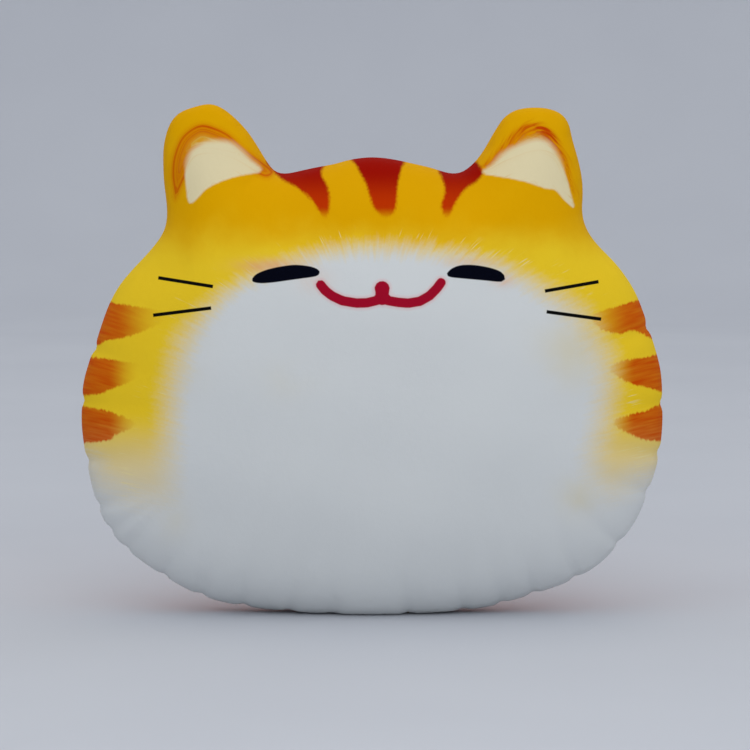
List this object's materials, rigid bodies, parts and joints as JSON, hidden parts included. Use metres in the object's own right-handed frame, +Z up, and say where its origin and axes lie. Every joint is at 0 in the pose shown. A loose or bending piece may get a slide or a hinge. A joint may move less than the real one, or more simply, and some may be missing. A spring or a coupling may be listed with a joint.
{
  "type": "plush cat cushion",
  "caption": "Stuffed cat head cushion, wider than tall, with a printed sleepy striped face and two soft ears that bend and spring back.",
  "frame": {"origin": "middle of the flat patch that the cat stands on, in the plane of the rim seam", "axes": "+X to the viewer's right across the face, -Y out of the face, +Z up to the ears"},
  "size_m": [0.45, 0.163, 0.3925],
  "materials": {
    "front_plush": "matte",
    "back_plush": "matte",
    "fibre_fill": "matte",
    "seam_thread": "matte"
  },
  "bodies": {
    "body": {"front_panel": "front_plush", "back_panel": "back_plush", "body_fill": "fibre_fill", "body_seam_stitches": "seam_thread", "closing_stitches": "seam_thread"},
    "left_ear": {"left_ear_front_panel": "front_plush", "left_ear_back_panel": "back_plush", "left_ear_fill": "fibre_fill", "left_ear_stitches": "seam_thread"},
    "right_ear": {"right_ear_front_panel": "front_plush", "right_ear_back_panel": "back_plush", "right_ear_fill": "fibre_fill", "right_ear_stitches": "seam_thread"}
  },
  "joints": [
    {"name": "left_ear_bend", "type": "hinge", "parent": "body", "child": "left_ear", "pos_m": [-0.116, 0, 0.3265], "axis": [0.9143, 0, 0.4051], "range_deg": [-25, 25], "stiffness_Nm_per_rad": 0.05},
    {"name": "right_ear_bend", "type": "hinge", "parent": "body", "child": "right_ear", "pos_m": [0.116, 0, 0.3265], "axis": [0.9143, 0, -0.4051], "range_deg": [-25, 25], "stiffness_Nm_per_rad": 0.05}
  ]
}
